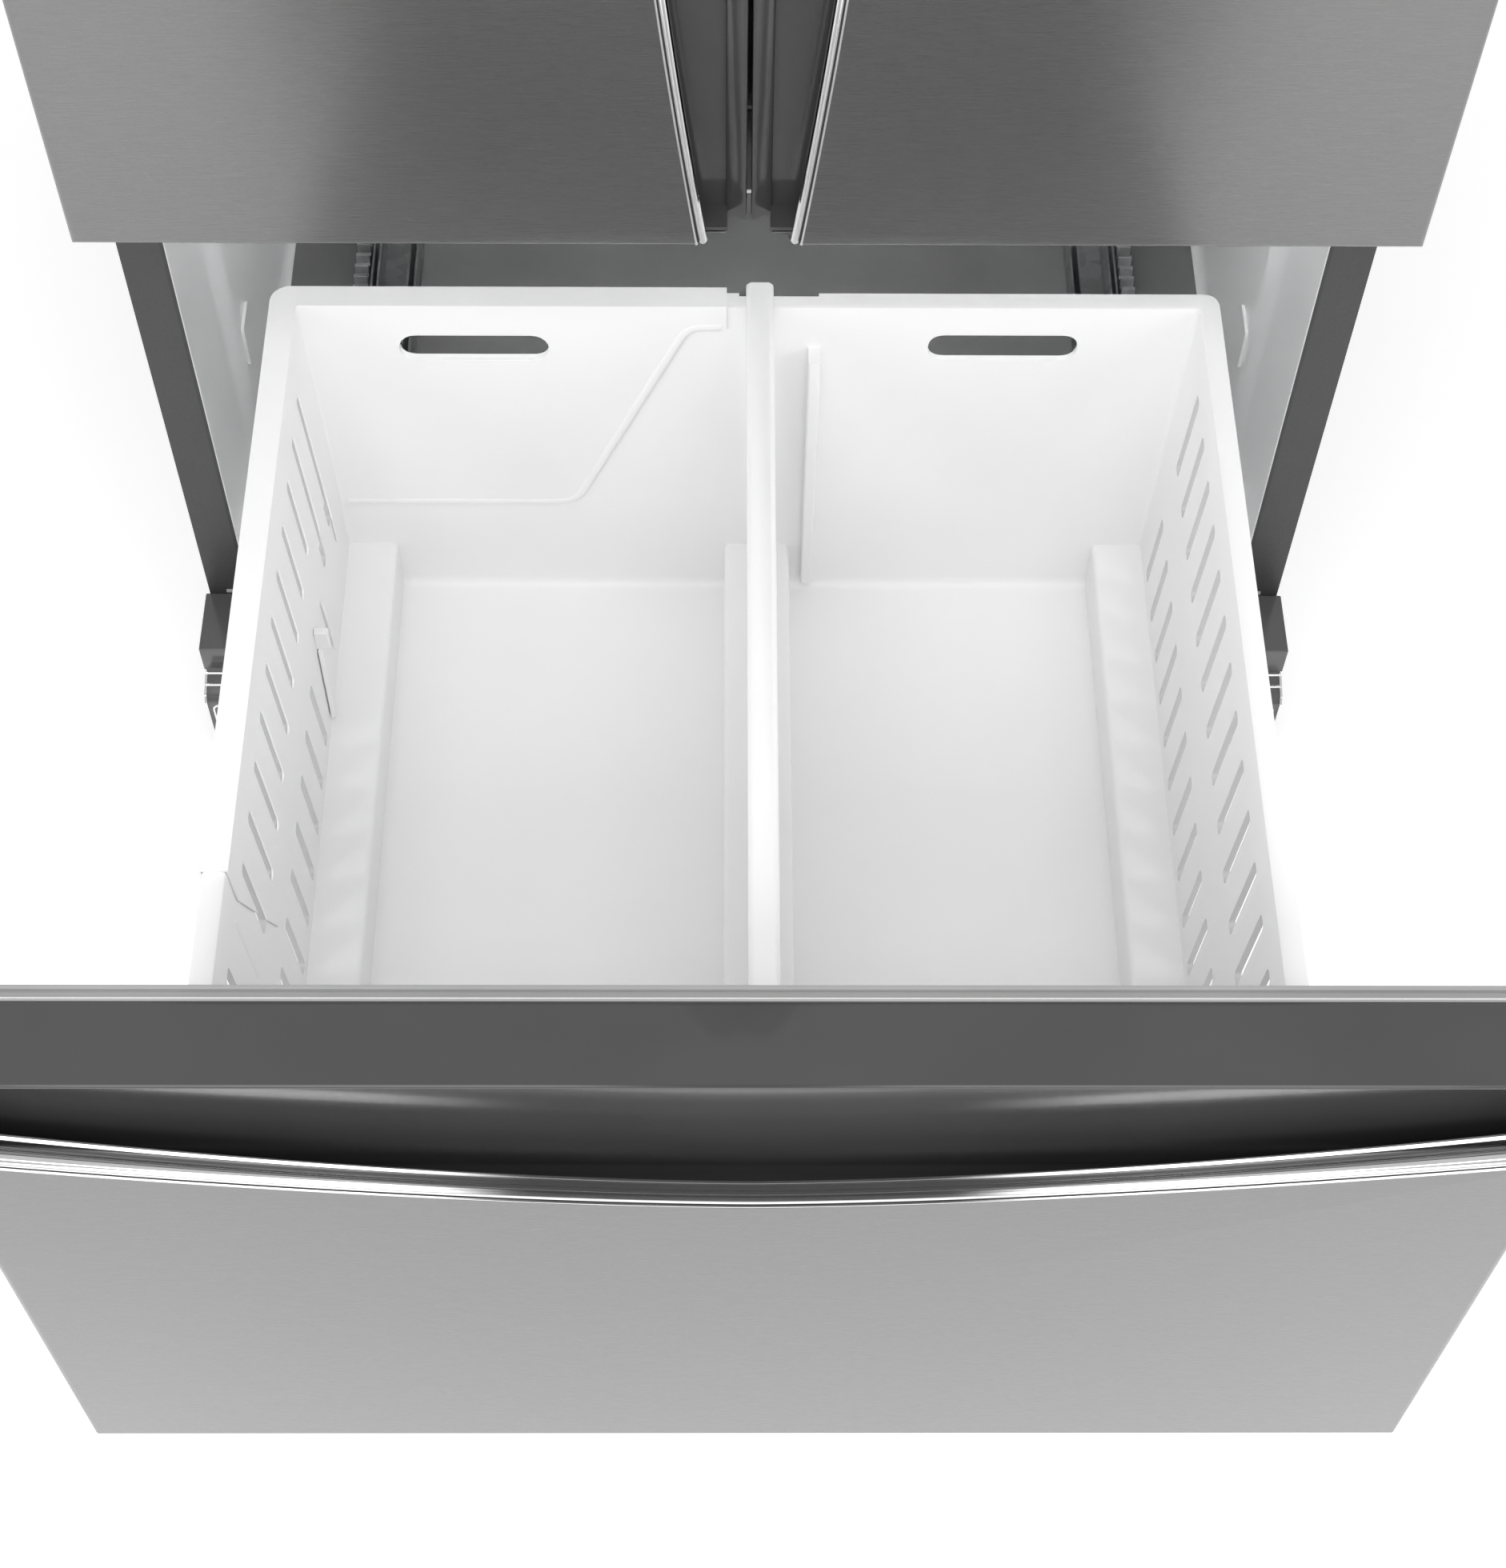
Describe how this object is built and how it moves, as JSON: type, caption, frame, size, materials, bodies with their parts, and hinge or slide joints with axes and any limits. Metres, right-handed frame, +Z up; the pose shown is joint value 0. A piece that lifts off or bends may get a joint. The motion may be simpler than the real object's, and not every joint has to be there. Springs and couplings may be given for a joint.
{
  "type": "french door refrigerator",
  "caption": "Stainless french door refrigerator with a bottom freezer drawer pulled out, its white basket split by a divider, and arched pocket grips.",
  "frame": {"origin": "on the floor, at the centre of the footprint with the freezer drawer fully out", "axes": "+Z up, +Y from the front towards the back, +X to the right as seen from the front"},
  "size_m": [0.914, 1.556, 1.775],
  "materials": {
    "case_paint": "dark grey fine-texture paint",
    "stainless": "horizontally brushed stainless",
    "chrome": "polished",
    "dark_gloss": "dark grey gloss",
    "dark_matte": "charcoal satin",
    "liner_white": "satin white",
    "basket_white": "moulded white, fine grain",
    "gasket_grey": "light grey vinyl",
    "clear_plastic": "clear moulded",
    "shelf_glass": "tempered, clear",
    "zinc": "zinc plated",
    "black_steel": "black enamel",
    "fins": "mill",
    "rubber": "black, matt"
  },
  "bodies": {
    "cabinet": {"case_wrapper": "case_paint", "back_panel": "zinc", "base_pan": "zinc", "mullion_rail": "case_paint", "freshfood_liner": "liner_white", "freezer_liner": "liner_white", "freezer_floor_plate": "dark_gloss", "base_grille": "dark_gloss", "leveling_leg_left": "black_steel", "leveling_leg_right": "black_steel", "top_hinge_left": "zinc", "top_hinge_right": "zinc", "hinge_cover_left": "dark_matte", "hinge_cover_right": "dark_matte", "center_hinge_left": "zinc", "center_hinge_right": "zinc", "slide_channel_left": "zinc", "slide_channel_right": "zinc", "shelf_upper": "shelf_glass", "shelf_middle": "shelf_glass", "crisper_cover": "shelf_glass", "compressor": "black_steel", "condenser": "fins", "evaporator": "fins", "evaporator_cover": "liner_white"},
    "left_door": {"door_skin_left": "stainless", "door_cap_left": "dark_gloss", "door_lip_left": "chrome", "door_liner_left": "liner_white", "door_gasket_left": "gasket_grey"},
    "right_door": {"door_skin_right": "stainless", "door_cap_right": "dark_gloss", "door_lip_right": "chrome", "door_liner_right": "liner_white", "door_gasket_right": "gasket_grey"},
    "mullion_flipper": {"mullion_flipper": "dark_matte"},
    "bin_left_upper": {"bin_left_upper": "clear_plastic"},
    "bin_left_lower": {"bin_left_lower": "clear_plastic"},
    "bin_right_upper": {"bin_right_upper": "clear_plastic"},
    "bin_right_lower": {"bin_right_lower": "clear_plastic"},
    "freezer_drawer": {"drawer_skin": "stainless", "drawer_cap": "dark_gloss", "drawer_lip": "chrome", "drawer_inner_panel": "liner_white", "drawer_gasket": "gasket_grey", "drawer_rail_left": "zinc", "drawer_rail_right": "zinc"},
    "mid_slide_left": {"mid_slide_left": "zinc"},
    "mid_slide_right": {"mid_slide_right": "zinc"},
    "pinion_shaft": {"pinion_shaft": "zinc"},
    "basket": {"basket": "basket_white", "corner_guard": "basket_white"},
    "basket_divider": {"basket_divider": "basket_white"},
    "freezer_tray": {"freezer_tray": "clear_plastic"},
    "crisper_left": {"crisper_left": "clear_plastic"},
    "crisper_right": {"crisper_right": "clear_plastic"},
    "condenser_fan": {"condenser_fan": "dark_matte"},
    "evaporator_fan": {"evaporator_fan": "dark_matte"},
    "rear_roller_left": {"rear_roller_left": "rubber"},
    "rear_roller_right": {"rear_roller_right": "rubber"}
  },
  "joints": [
    {"name": "left_door_hinge", "type": "hinge", "parent": "cabinet", "child": "left_door", "pos_m": [-0.442, -0.088, 1.184], "axis": [0, 0, -1], "range_deg": [0, 120]},
    {"name": "right_door_hinge", "type": "hinge", "parent": "cabinet", "child": "right_door", "pos_m": [0.442, -0.088, 1.184], "axis": [0, 0, 1], "range_deg": [0, 120]},
    {"name": "flipper_hinge", "type": "hinge", "parent": "left_door", "child": "mullion_flipper", "pos_m": [-0.024, -0.0308, 1.189], "axis": [0, 0, 1], "range_deg": [0, 90]},
    {"name": "drawer_slide", "type": "slide", "parent": "cabinet", "child": "freezer_drawer", "axis": [0, 1, 0], "range_m": [0, 0.646]},
    {"name": "mid_slide_left_run", "type": "slide", "parent": "cabinet", "child": "mid_slide_left", "axis": [0, 1, 0], "range_m": [0, 0.323]},
    {"name": "mid_slide_right_run", "type": "slide", "parent": "cabinet", "child": "mid_slide_right", "axis": [0, 1, 0], "range_m": [0, 0.323]},
    {"name": "pinion_turn", "type": "hinge", "parent": "freezer_drawer", "child": "pinion_shaft", "pos_m": [0, -0.028, 0.221], "axis": [1, 0, 0], "range_deg": [-2314, 0]},
    {"name": "basket_lift", "type": "slide", "parent": "freezer_drawer", "child": "basket", "axis": [0, 0, -1], "range_m": [-0.07, 0]},
    {"name": "divider_lift", "type": "slide", "parent": "basket", "child": "basket_divider", "axis": [0, 0, -1], "range_m": [-0.045, 0]},
    {"name": "tray_slide", "type": "slide", "parent": "cabinet", "child": "freezer_tray", "axis": [0, -1, 0], "range_m": [0, 0.125]},
    {"name": "crisper_left_slide", "type": "slide", "parent": "cabinet", "child": "crisper_left", "axis": [0, -1, 0], "range_m": [0, 0.105]},
    {"name": "bin_left_upper_lift", "type": "slide", "parent": "left_door", "child": "bin_left_upper", "axis": [0, 0, 1], "range_m": [0, 0.03]},
    {"name": "bin_left_lower_lift", "type": "slide", "parent": "left_door", "child": "bin_left_lower", "axis": [0, 0, 1], "range_m": [0, 0.03]},
    {"name": "crisper_right_slide", "type": "slide", "parent": "cabinet", "child": "crisper_right", "axis": [0, -1, 0], "range_m": [0, 0.105]},
    {"name": "bin_right_upper_lift", "type": "slide", "parent": "right_door", "child": "bin_right_upper", "axis": [0, 0, 1], "range_m": [0, 0.03]},
    {"name": "bin_right_lower_lift", "type": "slide", "parent": "right_door", "child": "bin_right_lower", "axis": [0, 0, 1], "range_m": [0, 0.03]},
    {"name": "condenser_fan_spin", "type": "hinge", "parent": "cabinet", "child": "condenser_fan", "pos_m": [0.03, 0.714, 0.15], "axis": [1, 0, 0], "continuous": true},
    {"name": "evaporator_fan_spin", "type": "hinge", "parent": "cabinet", "child": "evaporator_fan", "pos_m": [0, 0.642, 0.532], "axis": [0, 1, 0], "continuous": true},
    {"name": "rear_roller_left_spin", "type": "hinge", "parent": "cabinet", "child": "rear_roller_left", "pos_m": [-0.4, 0.702, 0.02], "axis": [1, 0, 0], "continuous": true},
    {"name": "rear_roller_right_spin", "type": "hinge", "parent": "cabinet", "child": "rear_roller_right", "pos_m": [0.4, 0.702, 0.02], "axis": [1, 0, 0], "continuous": true}
  ],
  "couplings": [
    {"joint": "mid_slide_left_run", "follows": "drawer_slide", "ratio": 0.5},
    {"joint": "mid_slide_right_run", "follows": "drawer_slide", "ratio": 0.5},
    {"joint": "pinion_turn", "follows": "drawer_slide", "rad_per_m": -62.5}
  ]
}
